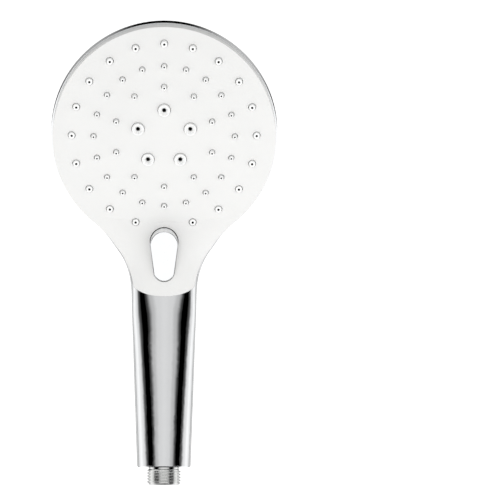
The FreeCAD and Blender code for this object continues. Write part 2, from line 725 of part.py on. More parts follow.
def make_face_plate():
    edge = outline_prism(n["plate_inset"])
    tongue_top = NECK + n["tongue_rise"]
    outside = edge.common(dome(0)).common(front_region())
    tongue = edge.common(whole_form).common(front_region()).common(below(tongue_top))
    inside_edge = outline_prism(n["plate_inset"] + n["plate_wall"])
    floor = NECK + n["plate_corner_rise"] + n["plate_wall"]
    hollow_head = inside_edge.common(dome(n["plate_wall"]))
    hollow_tongue = inside_edge.common(form(n["plate_wall"])).common(below(tongue_top))
    hollow = hollow_head.fuse(hollow_tongue).common(above(floor))
    plate = outside.fuse(tongue).cut(hollow)
    ball = dome(n["plate_wall"] / 2)
    bosses = []
    for spot in plate_screw_spots():
        boss = standing_cylinder(n["plate_boss_radius"], spot, -n["plate_edge"], n["face_dome"])
        bosses.append(boss.common(ball))
    post_limit = form(n["plate_wall"] / 2).common(below(tongue_top)).fuse(ball)
    for spot in ear_spots():
        post = standing_cylinder(n["ear_radius"], spot, -n["housing_front"], n["button_face"])
        bosses.append(post.common(post_limit))
    plate = plate.fuse(bosses)
    holes = [button_form(-n["button_clearance"]).common(below(tongue_top))]
    for spots, radius in nozzle_families():
        for spot in spots:
            gap = radius + n["nozzle_clearance"]
            holes.append(standing_cylinder(gap, spot, -n["plate_edge"], n["button_face"]))
    for spot in plate_screw_spots():
        end = n["screw_grip"] - n["plate_edge"]
        holes.append(standing_cylinder(n["plate_screw_radius"], spot, -n["seam_depth"], end))
    for spot in ear_spots():
        holes.append(standing_cylinder(n["plate_screw_radius"], spot, -n["seam_depth"], 0))
    return solid("face_plate_shape", plate.cut(holes))


def nozzle_families():
    return [
        (OUTER_SPOTS, n["outer_nozzle_radius"]),
        (MIDDLE_SPOTS + INNER_SPOTS, n["rain_nozzle_radius"]),
        (MASSAGE_SPOTS, n["massage_nozzle_radius"]),
    ]


# ---------------------------------------------------------------- nozzles
def nozzle_mat(name, inside, ring, families):
    """A soft ring behind the face plate, with its nozzles standing through the plate."""
    under = n["plate_wall"]
    if inside > 0:
        ring = ring.cut(standing_cylinder(inside, (0, 0), -REACH, REACH))
    mat = dome(under).cut(dome(under + n["mat_thickness"])).common(ring)
    mat = mat.common(standing_cylinder(REACH, (0, 0), -n["head_radius"], n["head_radius"]))
    mat = mat.cut(button_notch(n["chamber_wall"] * 2.2))
    bodies, bores = [], []
    for spots, radius, tip_radius, tip, bore, mouth in families:
        for spot in spots:
            root = dome_rise(math.hypot(*spot)) - under - n["mat_thickness"] / 2
            body = Part.makeCone(radius, tip_radius, tip - root)
            body.Placement = face_place(spot[0], spot[1], root)
            bodies.append(body)
            bores.append(standing_cylinder(bore, spot, root - 3, tip + 1))
            if mouth > 0:
                funnel = Part.makeCone(bore, mouth, n["mouth_depth"])
                funnel.Placement = face_place(spot[0], spot[1], tip - n["mouth_depth"])
                bores.append(funnel)
    return solid(name + "_shape", mat.fuse(bodies).cut(bores))


def make_nozzles():
    gap, wall = n["nozzle_clearance"], n["chamber_wall"]
    outer_family = [
        (OUTER_SPOTS, n["outer_nozzle_radius"], n["outer_nozzle_end"], n["outer_nozzle_tip"],
         n["outer_nozzle_bore"], 0),
    ]
    rain_families = [
        (spots, n["rain_nozzle_radius"], n["rain_nozzle_end"], tip, n["rain_nozzle_bore"], 0)
        for spots, tip in ((MIDDLE_SPOTS, n["middle_nozzle_tip"]), (INNER_SPOTS, n["inner_nozzle_tip"]))
    ]
    massage_family = [
        (MASSAGE_SPOTS, n["massage_nozzle_radius"], n["massage_nozzle_end"], n["massage_nozzle_tip"],
         n["massage_nozzle_bore"], n["massage_nozzle_mouth"]),
    ]
    low, high = -REACH / 2, REACH / 2
    outer_post = oval_post(n["chamber_radius"] - gap, low, high)
    rain_post = standing_cylinder(n["outer_wall_radius"] - gap, (0, 0), low, high)
    massage_post = standing_cylinder(n["inner_wall_radius"] - gap, (0, 0), low, high)
    outer = nozzle_mat("outer_nozzles", n["outer_wall_radius"] + wall + gap, outer_post, outer_family)
    rain = nozzle_mat("rain_nozzles", n["inner_wall_radius"] + wall + gap, rain_post, rain_families)
    massage = nozzle_mat("massage_nozzles", 0, massage_post, massage_family)
    keep(outer, "outer_nozzles")
    keep(rain, "rain_nozzles")
    keep(massage, "massage_nozzles")


# ---------------------------------------------------------------- water chambers
def base_rear():
    """Distance of the channel body's rear face behind the rim plane."""
    return size["plate_edge"] + size["ledge_thickness"] + size["base_thickness"]


def flat_end():
    """Lower end of the channel body, where the diverter meets it."""
    return -n["rod_place"] + n["housing_radius"] + n["housing_neck"] + n["gasket_thickness"]


def ring_wall(radius):
    """A wall between two chambers, from the base to the face plate's underside."""
    low = -n["plate_edge"] - n["ledge_thickness"]
    wall = standing_cylinder(radius + n["chamber_wall"], (0, 0), low, n["face_dome"])
    inside = standing_cylinder(radius, (0, 0), -REACH / 2, REACH / 2)
    return wall.cut(inside).common(dome(n["plate_wall"]))


def channel_spots():
    """Places where the channels reach the outer, middle and centre chambers."""
    beyond_wall = n["outer_wall_radius"] + n["chamber_wall"] + n["port_radius"] + 0.1
    return [
        (-n["channel_pitch"], -beyond_wall),
        (0.0, -n["inner_ring"] - n["middle_port_offset"]),
        (n["channel_pitch"], -n["centre_port_place"]),
    ]


def make_channel_body():
    low = -float(base_rear())
    disc = standing_cylinder(n["head_radius"] - n["shell_wall"] - 0.6, (0, 0), low,
                             low + n["base_thickness"])
    within = oval_post(n["chamber_radius"] + n["chamber_wall"], -REACH / 2, REACH / 2)
    chamber = oval_post(n["chamber_radius"], -REACH / 2, REACH / 2)
    high_part = standing_cylinder(REACH, (0, 0), low, n["face_dome"])
    outer_wall = within.cut(chamber).common(high_part).common(dome(n["plate_wall"]))
    outer_wall = outer_wall.cut(button_notch(n["chamber_wall"] * 2))
    notch_wall = button_notch(n["chamber_wall"] * 2).cut(button_notch(n["chamber_wall"]))
    notch_wall = notch_wall.common(dome(n["plate_wall"])).common(within)
    body = disc.fuse([outer_wall, notch_wall, ring_wall(n["outer_wall_radius"]),
                      ring_wall(n["inner_wall_radius"])])
    keep_above = Part.makeBox(2 * REACH, 2 * REACH, REACH, V(-REACH, flat_end(), 0))
    keep_above.Placement = face_place(out=-REACH / 2).multiply(keep_above.Placement)
    body = body.common(keep_above)
    holes = [standing_cylinder(n["port_radius"], spot, low - 1, low + n["base_thickness"] + 0.5)
             for spot in channel_spots()]
    holes += [standing_cylinder(n["plate_screw_radius"] + 0.2, spot, low - 1, 0)
              for spot in plate_screw_spots()]
    keep(solid("channel_body_shape", body.cut(holes)), "channel_body")


def make_channel_lid():
    low = -float(base_rear())
    rear = low - n["lid_height"]
    top = channel_spots()[2][1] + n["port_radius"] + n["lid_wall"]
    shell = block("lid_block", size["lid_half_width"] * 2, top - flat_end(), size["lid_height"],
                  face_place(-n["lid_half_width"], flat_end(), rear))
    grooves = []
    for k, (across, up) in enumerate(channel_spots()):
        start = flat_end() - 1
        reach = up + n["port_radius"] - start
        grooves.append(block(f"lid_channel_{k + 1}", size["channel_width"], reach,
                             size["lid_height"] - size["lid_wall"] + 1,
                             face_place(across - n["channel_width"] / 2, start, rear + n["lid_wall"])))
    keep(cut("channel_lid_shape", shell, grooves), "channel_lid")


def make_plate_screws():
    low = -float(base_rear())
    screws = []
    for k, (across, up) in enumerate(plate_screw_spots()):
        screws.append(screw(f"plate_screw_{k + 1}", face_place(across, up, low), -low - 2.2))
    keep(group("plate_screws_set", screws), "plate_screws")


def screw(name, place, reach):
    """A pan-head screw that points out of the face from its seat."""
    shank = cylinder(name + "_shank", size["plate_screw_radius"], reach, place)
    head_place = place.multiply(upright(0, 0, -n["screw_head_height"]))
    head = cylinder(name + "_head", size["plate_screw_radius"] * 1.7, size["screw_head_height"], head_place)
    slot_place = head_place.multiply(
        upright(-1.2 * n["plate_screw_radius"], -n["screw_slot"] / 2, -n["screw_slot"] / 2))
    slot = block(name + "_slot", size["plate_screw_radius"] * 2.4, size["screw_slot"],
                 size["screw_head_height"] * 0.8, slot_place)
    return cut(name, fuse(name + "_body", [shank, head]), [slot])


# ---------------------------------------------------------------- diverter and button
def housing_low():
    return -(n["housing_front"] + n["housing_depth"])


def make_diverter_housing():
    rod_up = -n["rod_place"]
    low, front, wall = housing_low(), -n["housing_front"], n["housing_wall"]
    spigot_low = NECK + n["tube_top_rise"] - n["spigot_length"]
    outlet = 2 * n["outlet_half"]
    drum = cylinder("housing_drum", size["housing_radius"], size["housing_depth"], face_place(0, rod_up, low))
    top = block("housing_top", size["housing_radius"] * 2, size["housing_radius"] + size["housing_neck"],
                size["housing_depth"], face_place(-n["housing_radius"], rod_up, low))
    foot_place = face_place(-n["foot_half_width"], rod_up - n["housing_radius"] - n["foot_length"], low + 0.6)
    foot = block("housing_foot", size["foot_half_width"] * 2, size["foot_length"] + 2.5,
                 size["housing_depth"] - 0.6, foot_place)
    boss = cylinder("housing_boss", size["boss_radius"], size["boss_height"], face_place(0, rod_up, front))
    spigot = cylinder("housing_spigot", size["tube_bore"] - 0.1, size["spigot_length"] + 7.5,
                      upright(0, n["tube_setback"], spigot_low))
    ears = [cylinder(f"housing_ear_{k + 1}", size["ear_radius"], size["ear_thickness"],
                     face_place(across, up, front - n["ear_thickness"]))
            for k, (across, up) in enumerate(ear_spots())]
    bar_place = face_place(-n["ear_place"], rod_up - n["ear_radius"], front - n["ear_thickness"])
    bar = block("housing_bar", size["ear_place"] * 2, size["ear_radius"] * 2, size["ear_thickness"],
                bar_place)
    body = fuse("housing_solid", [drum, top, foot, boss, spigot, bar] + ears)

    hollow = cylinder("housing_hollow", size["housing_radius"] - size["housing_wall"],
                      size["housing_depth"] - size["housing_wall"] * 2, face_place(0, rod_up, low + wall))
    rod_hole = cylinder("housing_rod_hole", size["rod_radius"] + size["rod_clearance"],
                        size["boss_height"] + 4, face_place(0, rod_up, front - 2))
    seal_seat = cylinder("housing_seal_seat", size["rod_seal_seat"], 1.6, face_place(0, rod_up, front + 0.4))
    inlet = cylinder("housing_inlet", size["spigot_bore"], size["spigot_length"] + 12,
                     upright(0, n["tube_setback"], spigot_low - 1))
    groove_place = upright(0, n["tube_setback"], spigot_low + 3)
    groove_outside = cylinder("groove_outside", size["tube_bore"] + 1, 2.0, groove_place)
    groove_inside = cylinder("groove_inside", size["tube_bore"] - 0.95, 2.0, groove_place)
    groove = cut("spigot_groove", groove_outside, [groove_inside])
    tools = [hollow, rod_hole, seal_seat, inlet, groove]
    for k, (across, _) in enumerate(channel_spots()):
        port_place = face_place(across - n["outlet_half"], rod_up + outlet, low + wall + 0.2)
        tools.append(block(f"housing_port_{k + 1}", outlet, 2 * outlet, n["outlet_half"], port_place))
    for k, (across, up) in enumerate(ear_spots()):
        tools.append(cylinder(f"ear_hole_{k + 1}", size["plate_screw_radius"] + 0.2, 5.0,
                              face_place(across, up, front - 4)))
    keep(cut("diverter_housing_shape", body, tools), "diverter_housing")


def make_cartridge_screws():
    seat = -n["housing_front"] - n["ear_thickness"]
    screws = [screw(f"cartridge_screw_{k + 1}", face_place(across, up, seat), size["ear_thickness"] + 3.1)
              for k, (across, up) in enumerate(ear_spots())]
    keep(group("cartridge_screws_set", screws), "cartridge_screws")


def make_outlet_gasket():
    low = housing_low() + n["housing_wall"] - 0.8
    up = -n["rod_place"] + n["housing_radius"] + n["housing_neck"]
    half, outlet = n["gasket_width"] / 2, 2 * n["outlet_half"]
    sheet = block("gasket_sheet", size["gasket_width"], size["gasket_thickness"], size["gasket_depth"],
                  face_place(-half, up, low))
    windows = [block(f"gasket_window_{k + 1}", outlet, 2.0, n["outlet_half"],
                     face_place(across - n["outlet_half"], up - 0.5, low + 1))
               for k, (across, _) in enumerate(channel_spots())]
    keep(cut("outlet_gasket_shape", sheet, windows), "outlet_gasket")


def make_rotor():
    rod_up = -n["rod_place"]
    low = housing_low() + n["housing_wall"] + n["rotor_clearance"]
    radius = size["housing_radius"] - size["housing_wall"] - size["rotor_clearance"]
    through = size["rotor_thickness"] + 1.4
    disc = cylinder("rotor_disc", radius, size["rotor_thickness"], face_place(0, rod_up, low))
    socket = cylinder("rotor_socket", size["rod_radius"] + size["rod_clearance"] + 0.2, through,
                      face_place(0, rod_up, low - 0.5))
    ports = []
    for turn in (30, 150, 270):
        across = n["rotor_port_ring"] * math.cos(math.radians(turn))
        up = rod_up + n["rotor_port_ring"] * math.sin(math.radians(turn))
        ports.append(cylinder(f"rotor_port_{turn}", size["rotor_port_radius"], through,
                              face_place(across, up, low - 0.5)))
    keep(cut("diverter_rotor_shape", disc, [socket] + ports), "diverter_rotor")


def make_button():
    """The pressed cap: a hollow, tapered button with a stem for its rod."""
    face = n["button_face"]
    rod_spot = (0, -n["rod_place"])
    skirt_y, far = -n["button_skirt_front"], 2 * REACH
    before_skirt = side_cutter([(-far, far, 0), (skirt_y, far, 0), (skirt_y, 0, 0), (-far, 0, 0)])
    cap = button_form(0).common(standing_cylinder(REACH, (0, 0), -REACH / 2, face)).common(before_skirt)
    inside = standing_cylinder(REACH, (0, 0), -REACH / 2, face - n["button_wall"])
    hollow = button_form(n["button_wall"]).common(inside)
    stem = standing_cylinder(n["stem_radius"], rod_spot, 3.0, face - 0.2)
    bore = standing_cylinder(n["rod_radius"], rod_spot, -5, face - n["rod_recess"])
    keep(solid("button_shape", cap.cut(hollow).fuse(stem).cut(bore)), "button")


def make_push_rod():
    rod_up = -n["rod_place"]
    rotor_front = housing_low() + n["housing_wall"] + n["rotor_clearance"] + n["rotor_thickness"]
    tip = rotor_front + 1.6
    length = n["button_face"] - n["rod_recess"] - tip
    keep(cylinder("push_rod_shape", size["rod_radius"], length, face_place(0, rod_up, tip)), "push_rod")
    clip_out = -n["housing_front"] - n["housing_wall"] - n["rod_clip_thickness"] - 0.15
    clip = cylinder("rod_clip_disc", size["rod_radius"] + 1, size["rod_clip_thickness"],
                    face_place(0, rod_up, clip_out))
    hole = cylinder("rod_clip_hole", size["rod_radius"], 2.0, face_place(0, rod_up, clip_out - 0.5))
    keep(cut("rod_clip_shape", clip, [hole]), "rod_clip")
    seal_place = face_place(0, rod_up, -n["housing_front"] + 1.2)
    keep(torus("rod_seal_shape", size["rod_radius"] + 0.75, 0.68, seal_place), "rod_seal")


def coil(name, radius, wire, length, turns, place):
    """A compression spring as one helical sweep, standing on its place."""
    helix = Part.makeHelix((length - 2 * wire) / turns, length - 2 * wire, radius)
    section = Part.Wire(Part.makeCircle(wire, V(radius, 0, 0), V(0, 1, 0)))
    spring = Part.Wire(helix).makePipeShell([section], True, True)
    spring.translate(V(0, 0, wire))
    thing = solid(name, spring)
    thing.Placement = place.multiply(upright(0, 0, wire))
    return thing


def make_button_spring():
    low = -n["housing_front"] + 0.15
    high = n["button_face"] - n["button_wall"] - 0.15
    spring = coil("button_spring_shape", n["spring_radius"], n["spring_wire"], high - low, 6.0,
                  face_place(0, -n["rod_place"], low))
    keep(spring, "button_spring")


# ---------------------------------------------------------------- water way in the handle
def tube_path():
    """Straight, an S-bend backwards, and straight again up the handle."""
    bottom = n["socket_floor"] + 0.5
    top = NECK + n["tube_top_rise"]
    bend_low, bend_high = n["barrel_top"] + 10, NECK - 18
    rise, shift = bend_high - bend_low, n["tube_setback"]
    turn = 2 * math.atan2(shift, rise)
    radius = rise / (2 * math.sin(turn))
    half = turn / 2
    middle = V(0, shift / 2, (bend_low + bend_high) / 2)
    low_mid = V(0, radius * (1 - math.cos(half)), bend_low + radius * math.sin(half))
    high_mid = V(0, shift - radius * (1 - math.cos(half)), bend_high - radius * math.sin(half))
    return Part.Wire([
        Part.LineSegment(V(0, 0, bottom), V(0, 0, bend_low)).toShape(),
        Part.Arc(V(0, 0, bend_low), low_mid, middle).toShape(),
        Part.Arc(middle, high_mid, V(0, shift, bend_high)).toShape(),
        Part.LineSegment(V(0, shift, bend_high), V(0, shift, top)).toShape(),
    ])


def make_water_tube():
    path = tube_path()
    start = path.Vertexes[0].Point
    outside = Part.Wire(Part.makeCircle(n["tube_radius"], start, V(0, 0, 1)))
    inside = Part.Wire(Part.makeCircle(n["tube_bore"], start, V(0, 0, 1)))
    tube = path.makePipeShell([outside], True, True).cut(path.makePipeShell([inside], True, True))
    keep(solid("water_tube_shape", tube), "water_tube")
    spigot_low = NECK + n["tube_top_rise"] - n["spigot_length"]
    upper = torus("tube_seal_upper_shape", size["tube_bore"] - 0.48, size["tube_seal_wire"],
                  upright(0, n["tube_setback"], spigot_low + 4))
    keep(upper, "tube_seal_upper")
    lower = torus("tube_seal_lower_shape", size["tube_radius"] + 0.8, size["socket_seal_wire"],
                  upright(0, 0, n["socket_floor"] + n["socket_seal_rise"]))
    keep(lower, "tube_seal_lower")


def thread_outline():
    """Corners of the thread, from its bevelled end up to the undercut at the shoulder."""
    corners = [(size["thread_radius"] - size["thread_depth"], 0.0)]
    crest, root = size["thread_radius"], size["thread_radius"] - size["thread_depth"]
    flat, flank = n["thread_pitch"] * 0.26, n["thread_pitch"] * 0.33
    for k in range(THREAD_TURNS):
        foot = 0.55 + k * n["thread_pitch"]
        corners += [(crest, foot), (crest, foot + flat), (root, foot + flat + flank),
                    (root, foot + n["thread_pitch"] - flank * 0.95)]
    return corners[:-1]


def make_inlet_nipple():
    flange_low = handle_floor() + n["seal_thickness"]
    flange_high = flange_low + n["flange_thickness"]
    neck_radius = size["thread_radius"] - size["thread_depth"]
    collar_radius = size["thread_radius"] - 0.3
    socket_radius, groove_radius = size["tube_radius"] + 0.12, size["tube_radius"] + 1.65
    groove_middle = size["socket_floor"] + size["socket_seal_rise"]
    valve_stop = size["valve_floor"] + size["valve_length"] + 0.5
    outline = [(size["inlet_bore"], 0.0)] + thread_outline() + [
        (neck_radius, size["thread_length"] + 0.3),
        (collar_radius, size["thread_length"] + 0.9),
        (collar_radius, flange_low),
        (size["flange_radius"], flange_low),
        (size["flange_radius"], flange_high),
        (size["barrel_radius"], flange_high),
        (size["barrel_radius"], size["barrel_top"]),
        (socket_radius, size["barrel_top"]),
        (socket_radius, groove_middle + 1.1),
        (groove_radius, groove_middle + 1.1),
        (groove_radius, groove_middle - 1.1),
        (socket_radius, groove_middle - 1.1),
        (socket_radius, size["socket_floor"]),
        (size["tube_bore"], size["socket_floor"]),
        (size["tube_bore"], valve_stop),
        (size["inlet_bore"], valve_stop),
    ]
    keep(turned("inlet_nipple_shape", outline), "inlet_nipple")
    washer_hole = size["thread_radius"] + 0.3
    washer = turned("end_seal_shape", [
        (washer_hole, handle_floor()), (size["flange_radius"], handle_floor()),
        (size["flange_radius"], flange_low), (washer_hole, flange_low)])
    keep(washer, "end_seal")
    bite = n["handle_end_radius"] - n["shell_wall"] + n["ring_bite"] - 0.1
    ring_hole, ring_high = size["barrel_radius"] + 0.4, flange_high + n["ring_thickness"]
    ring = turned("ring_solid", [
        (ring_hole, flange_high), (bite, flange_high), (bite, ring_high), (ring_hole, ring_high)])
    gap = block("ring_gap", 4.0, 30.0, 10.0, upright(-2, 5, flange_high - 2))
    keep(cut("retaining_ring_shape", ring, [gap]), "retaining_ring")


def hole_rings(name, rings, radius, low, height):
    """Small round holes on rings about the Z axis, as cutting tools."""
    tools = []
    for ring, count in rings:
        for k in range(count):
            angle = 2 * math.pi * k / count
            place = upright(ring * math.cos(angle), ring * math.sin(angle), low)
            tools.append(cylinder(f"{name}_{len(tools) + 1}", radius, height, place))
    return tools


def make_inlet_filter():
    """A cup-shaped strainer pushed into the inlet."""
    radius, low = size["cartridge_radius"], size["filter_low"]
    high, sheet = low + size["filter_height"], low + 1.4
    strainer = turned("filter_solid", [
        (0.0, sheet), (5.9, sheet), (5.9, low), (radius, low), (radius, high), (0.0, high)])
    mesh = hole_rings("filter_hole", [(1.5, 6), (3.0, 12), (4.6, 18)], 0.45, 2.0, 2.0)
    keep(cut("inlet_filter_shape", strainer, mesh), "inlet_filter")


def make_flow_limiter():
    """A plate with eight jets between the filter and the check valve."""
    radius, low = size["cartridge_radius"], size["limiter_low"]
    high, plate = low + size["limiter_height"], low + 1.6
    limiter = turned("limiter_solid", [
        (0.0, low), (radius, low), (radius, high), (4.6, high), (4.6, plate), (0.0, plate)])
    jets = hole_rings("limiter_hole", [(3.0, 8)], 0.6, 3.0, 3.0)
    keep(cut("flow_limiter_shape", limiter, jets), "flow_limiter")


def make_check_valve():
    radius, bore, guide = size["cartridge_radius"], size["valve_bore"], size["valve_guide"]
    floor = size["valve_floor"]
    top = floor + size["valve_length"]
    seal_radius = radius - 1.2
    seal_low, seal_high = floor + n["valve_seal_rise"] - 0.9, floor + n["valve_seal_rise"] + 0.9
    cage = turned("valve_solid", [
        (3.6, floor + 1.5), (3.6, floor), (radius, floor), (radius, seal_low), (seal_radius, seal_low),
        (seal_radius, seal_high), (radius, seal_high), (radius, top), (guide, top), (guide, top - 1.8),
        (bore, top - 1.8), (bore, floor + 1.5)])
    windows = hole_rings("valve_window", [(3.5, 6)], 1.4, float(top) - 3, 5.0)
    keep(cut("check_valve_body_shape", cage, windows), "check_valve_body")
    seal = torus("check_valve_seal_shape", size["cartridge_radius"] - 0.57, 0.6,
                 upright(0, 0, n["valve_floor"] + n["valve_seal_rise"]))
    keep(seal, "check_valve_seal")
    seat, tip = floor + 1.6, top - 0.3
    head, stem = size["poppet_radius"], size["poppet_stem"]
    poppet = turned("check_valve_poppet_shape", [
        (0.0, seat), (head, seat), (head, seat + 0.8), (2.0, seat + 1.6), (stem, seat + 1.6), (stem, tip),
        (0.0, tip)])
    keep(poppet, "check_valve_poppet")
    spring_low, spring_high = float(seat) + 1.75, float(top) - 1.95
    spring = coil("check_valve_spring_shape", n["valve_spring_radius"], n["valve_spring_wire"],
                  spring_high - spring_low, 5.0, upright(0, 0, spring_low))
    keep(spring, "check_valve_spring")


# ---------------------------------------------------------------- the whole head
def check_and_write():
    doc.recompute()
    for thing in doc.Objects:
        if "Invalid" in thing.State or "Error" in thing.State:
            raise RuntimeError(f"{thing.Label} failed: {thing.State}")
    os.makedirs("parts", exist_ok=True)
    for piece in pieces:
        shape = piece.Shape
        if shape.isNull() or not shape.isValid() or shape.Volume <= 0:
            raise RuntimeError(f"{piece.Label} has no valid solid")
        print(f"{piece.Label}: {len(shape.Solids)} solid(s), {shape.Volume:.0f} mm3")
        shape.exportStep(f"parts/{piece.Label}.step")


keep(make_handle_shell(), "handle_shell")
keep(make_rear_cover(), "rear_cover")
keep(make_face_plate(), "face_plate")
make_nozzles()
make_channel_body()
make_channel_lid()
make_plate_screws()
make_diverter_housing()
make_cartridge_screws()
make_outlet_gasket()
make_rotor()
make_button()
make_push_rod()
make_button_spring()
make_water_tube()
make_inlet_nipple()
make_inlet_filter()
make_flow_limiter()
make_check_valve()
check_and_write()
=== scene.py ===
import math

import bmesh
import bpy
from mathutils import Matrix, Vector


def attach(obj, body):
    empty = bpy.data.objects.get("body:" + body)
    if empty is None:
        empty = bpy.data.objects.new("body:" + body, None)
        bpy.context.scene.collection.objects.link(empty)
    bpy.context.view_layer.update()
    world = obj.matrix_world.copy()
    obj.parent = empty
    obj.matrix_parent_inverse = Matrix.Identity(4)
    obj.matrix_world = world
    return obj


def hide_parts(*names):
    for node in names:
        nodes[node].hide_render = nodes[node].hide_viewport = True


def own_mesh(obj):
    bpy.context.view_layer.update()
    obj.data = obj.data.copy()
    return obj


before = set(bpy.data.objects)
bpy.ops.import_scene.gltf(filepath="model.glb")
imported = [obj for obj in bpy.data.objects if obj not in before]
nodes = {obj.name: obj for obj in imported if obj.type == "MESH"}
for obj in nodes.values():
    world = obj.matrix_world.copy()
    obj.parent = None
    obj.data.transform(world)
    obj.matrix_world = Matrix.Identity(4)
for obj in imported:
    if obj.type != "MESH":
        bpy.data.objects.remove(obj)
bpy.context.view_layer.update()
mm = 0.001
print("frame loaded:", len(nodes), "nodes")

# the spray face leans forward; toFace turns a place into across, up and out of the rim's plane
headTilt = math.radians(17.1)
faceUp = Vector((0, -math.sin(headTilt), math.cos(headTilt)))
faceOut = Vector((0, -math.cos(headTilt), -math.sin(headTilt)))
rimMiddle = Vector((0, -25.832, 215.2)) * mm
toFace = (Matrix.Translation(rimMiddle) @ Matrix((
    (1, faceUp.x, faceOut.x),
    (0, faceUp.y, faceOut.y),
    (0, faceUp.z, faceOut.z))).to_4x4()).inverted()


# ways to build a material
def linear(hexColour):
    parts = [int(hexColour[i:i + 2], 16) / 255 for i in (1, 3, 5)]
    return [c / 12.92 if c <= 0.04045 else ((c + 0.055) / 1.055) ** 2.4 for c in parts] + [1]


def addNode(tree, kind, settings=None):
    # a setting is a socket's number or name, one of the node's own choices, or a ramp's stops;
    # a value that is another node's output is linked
    made = tree.nodes.new(kind)
    for key, value in (settings or {}).items():
        if key == "stops":
            ramp = made.color_ramp
            ramp.interpolation = "EASE"
            while len(ramp.elements) < len(value):
                ramp.elements.new(0.5)
            for element, (place, grey) in zip(ramp.elements, value):
                element.position = place
                element.color = (grey, grey, grey, 1)
        elif isinstance(value, bpy.types.NodeSocket):
            tree.links.new(value, made.inputs[key])
        elif isinstance(key, int) or key in made.inputs:
            made.inputs[key].default_value = value
        else:
            setattr(made, key, value)
    return next((socket for socket in made.outputs if socket.enabled), None)


def newMaterial(name):
    made = bpy.data.materials.new(name)
    made.use_nodes = True
    made.node_tree.nodes.clear()
    return made, made.node_tree


def perMetre(millimetres):
    return 1 / (millimetres * mm)


# where the uneven film and the hairlines begin and are full, as levels of their noise
plating = {
    "filmFrom": 0.4, "filmFull": 0.75, "hairFrom": 0.6, "hairFull": 0.8,
    "rippleStrength": 0.5, "hairStrength": 0.3}


def platedMetal(name, look):
    # nickel-chrome plating: mirror clear, with the faint ripple of the part under it,
    # hairlines from polishing and wiping, and a thin uneven film from handling
    made, tree = newMaterial(name)
    place = addNode(tree, "ShaderNodeTexCoord").node.outputs["Object"]
    ripple = addNode(tree, "ShaderNodeTexNoise", {
        "Scale": perMetre(look["rippleSize"]), "Detail": 1.0, "Vector": place})
    stretched = addNode(tree, "ShaderNodeMapping", {"Scale": look["hairStretch"], "Vector": place})
    hairs = addNode(tree, "ShaderNodeTexNoise", {
        "Scale": perMetre(look["hairWidth"]), "Detail": 2.0, "Vector": stretched})
    film = addNode(tree, "ShaderNodeTexNoise", {
        "Scale": perMetre(look["filmSize"]), "Detail": 5.0, "Roughness": 0.6, "Vector": place})
    filmRough = addNode(tree, "ShaderNodeMapRange", {
        "Value": film, "From Min": plating["filmFrom"], "From Max": plating["filmFull"],
        "To Min": look["roughness"], "To Max": look["filmRoughness"]})
    hairRough = addNode(tree, "ShaderNodeMapRange", {
        "Value": hairs, "From Min": plating["hairFrom"], "From Max": plating["hairFull"],
        "To Min": 0.0, "To Max": look["hairRoughness"]})
    rough = addNode(tree, "ShaderNodeMath", {"operation": "ADD", 0: filmRough, 1: hairRough})
    tone = addNode(tree, "ShaderNodeMix", {
        "data_type": "RGBA", 0: film, 6: linear(look["tint"]), 7: linear(look["filmTint"])})
    soft = addNode(tree, "ShaderNodeBevel", {"samples": 4, "Radius": look["edge"] * mm})
    wavy = addNode(tree, "ShaderNodeBump", {
        "Strength": plating["rippleStrength"], "Distance": look["rippleDepth"] * mm,
        "Height": ripple, "Normal": soft})
    lined = addNode(tree, "ShaderNodeBump", {
        "Strength": plating["hairStrength"], "Distance": look["hairDepth"] * mm,
        "Height": hairs, "Normal": wavy})
    shader = addNode(tree, "ShaderNodeBsdfPrincipled", {
        "Metallic": 1.0, "Base Color": tone, "Roughness": rough, "Normal": lined})
    addNode(tree, "ShaderNodeOutputMaterial", {"Surface": shader})
    return made


# where a cloudy sheen begins and is full, as levels of its noise
clouding = {"from": 0.3, "full": 0.7}


def mouldedPlastic(name, look):
    # injection moulded: spark-eroded grain of the mould, slow cloudy sheen where it cooled
    # unevenly, edges a touch worn, a little light that travels inside the skin, and, where asked, painted
    # shade in narrow holes
    made, tree = newMaterial(name)
    place = addNode(tree, "ShaderNodeTexCoord").node.outputs["Object"]
    grain = addNode(tree, "ShaderNodeTexNoise", {
        "Scale": perMetre(look["grain"]), "Detail": 3.0, "Roughness": 0.55, "Vector": place})
    clouds = addNode(tree, "ShaderNodeTexNoise", {
        "Scale": perMetre(look["cloud"]), "Detail": 3.0, "Vector": place})
    rough = addNode(tree, "ShaderNodeMapRange", {
        "Value": clouds, "From Min": clouding["from"], "From Max": clouding["full"],
        "To Min": look["roughness"], "To Max": look["cloudRoughness"]})
    tone = addNode(tree, "ShaderNodeMix", {
        "data_type": "RGBA", 0: clouds, 6: linear(look["colour"]), 7: linear(look["cloudColour"])})
    if "paintedHoleShadeColour" in look:
        # painted shade: ambient occlusion within the piece darkens narrow holes, bores and funnels towards
        # a dark grey, standing in for the shade that falls in them
        clear = addNode(tree, "ShaderNodeAmbientOcclusion", {
            "samples": 6, "only_local": True, "Distance": look["paintedShadeReach"] * mm})
        shade = addNode(tree, "ShaderNodeMapRange", {
            "Value": clear.node.outputs["AO"], "From Min": look["shadeFullBelow"], "From Max": look["shadeNoneAbove"],
            "To Min": 1.0, "To Max": 0.0})
        tone = addNode(tree, "ShaderNodeMix", {
            "data_type": "RGBA", 0: shade, 6: tone, 7: linear(look["paintedHoleShadeColour"])})
    soft = addNode(tree, "ShaderNodeBevel", {"samples": 4, "Radius": look["edge"] * mm})
    grained = addNode(tree, "ShaderNodeBump", {
        "Strength": look["grainStrength"], "Distance": look["grainDepth"] * mm,
        "Height": grain, "Normal": soft})
    shader = addNode(tree, "ShaderNodeBsdfPrincipled", {
        "IOR": look["ior"], "Subsurface Weight": look["glow"], "Subsurface Radius": look["glowReach"],
        "Subsurface Scale": mm, "Base Color": tone, "Roughness": rough, "Normal": grained})
    addNode(tree, "ShaderNodeOutputMaterial", {"Surface": shader})
    return made


